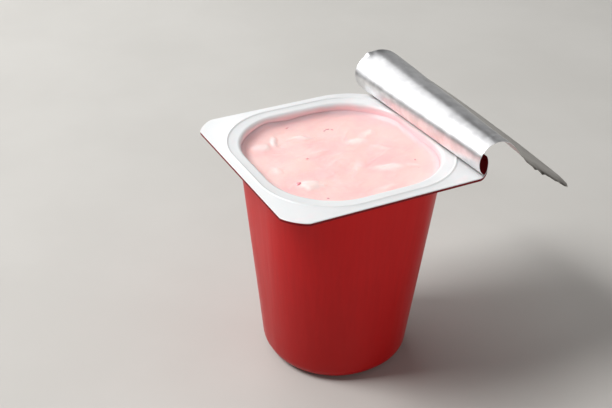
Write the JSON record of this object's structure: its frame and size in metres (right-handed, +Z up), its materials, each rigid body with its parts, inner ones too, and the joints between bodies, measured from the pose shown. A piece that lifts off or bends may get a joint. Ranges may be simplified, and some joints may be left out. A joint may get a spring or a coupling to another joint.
{
  "type": "yogurt pot",
  "caption": "Square-flanged plastic pot of pink fruit yogurt, with its foil lid peeled back and curled over one side.",
  "frame": {"origin": "centre of the pot's flat base, on the surface it stands on", "axes": "+Z up, +X towards the flange side on which the foil is still sealed"},
  "size_m": [0.0964, 0.0656, 0.079],
  "materials": {
    "pot": "satin red outside, white inside and on the flange",
    "yogurt": "soft pink, wet sheen",
    "foil": "satin rolled foil, dark red print on the inner side of the curl"
  },
  "bodies": {
    "root": {"pot": "pot", "yogurt": "yogurt", "foil_lid": "foil"}
  },
  "joints": []
}
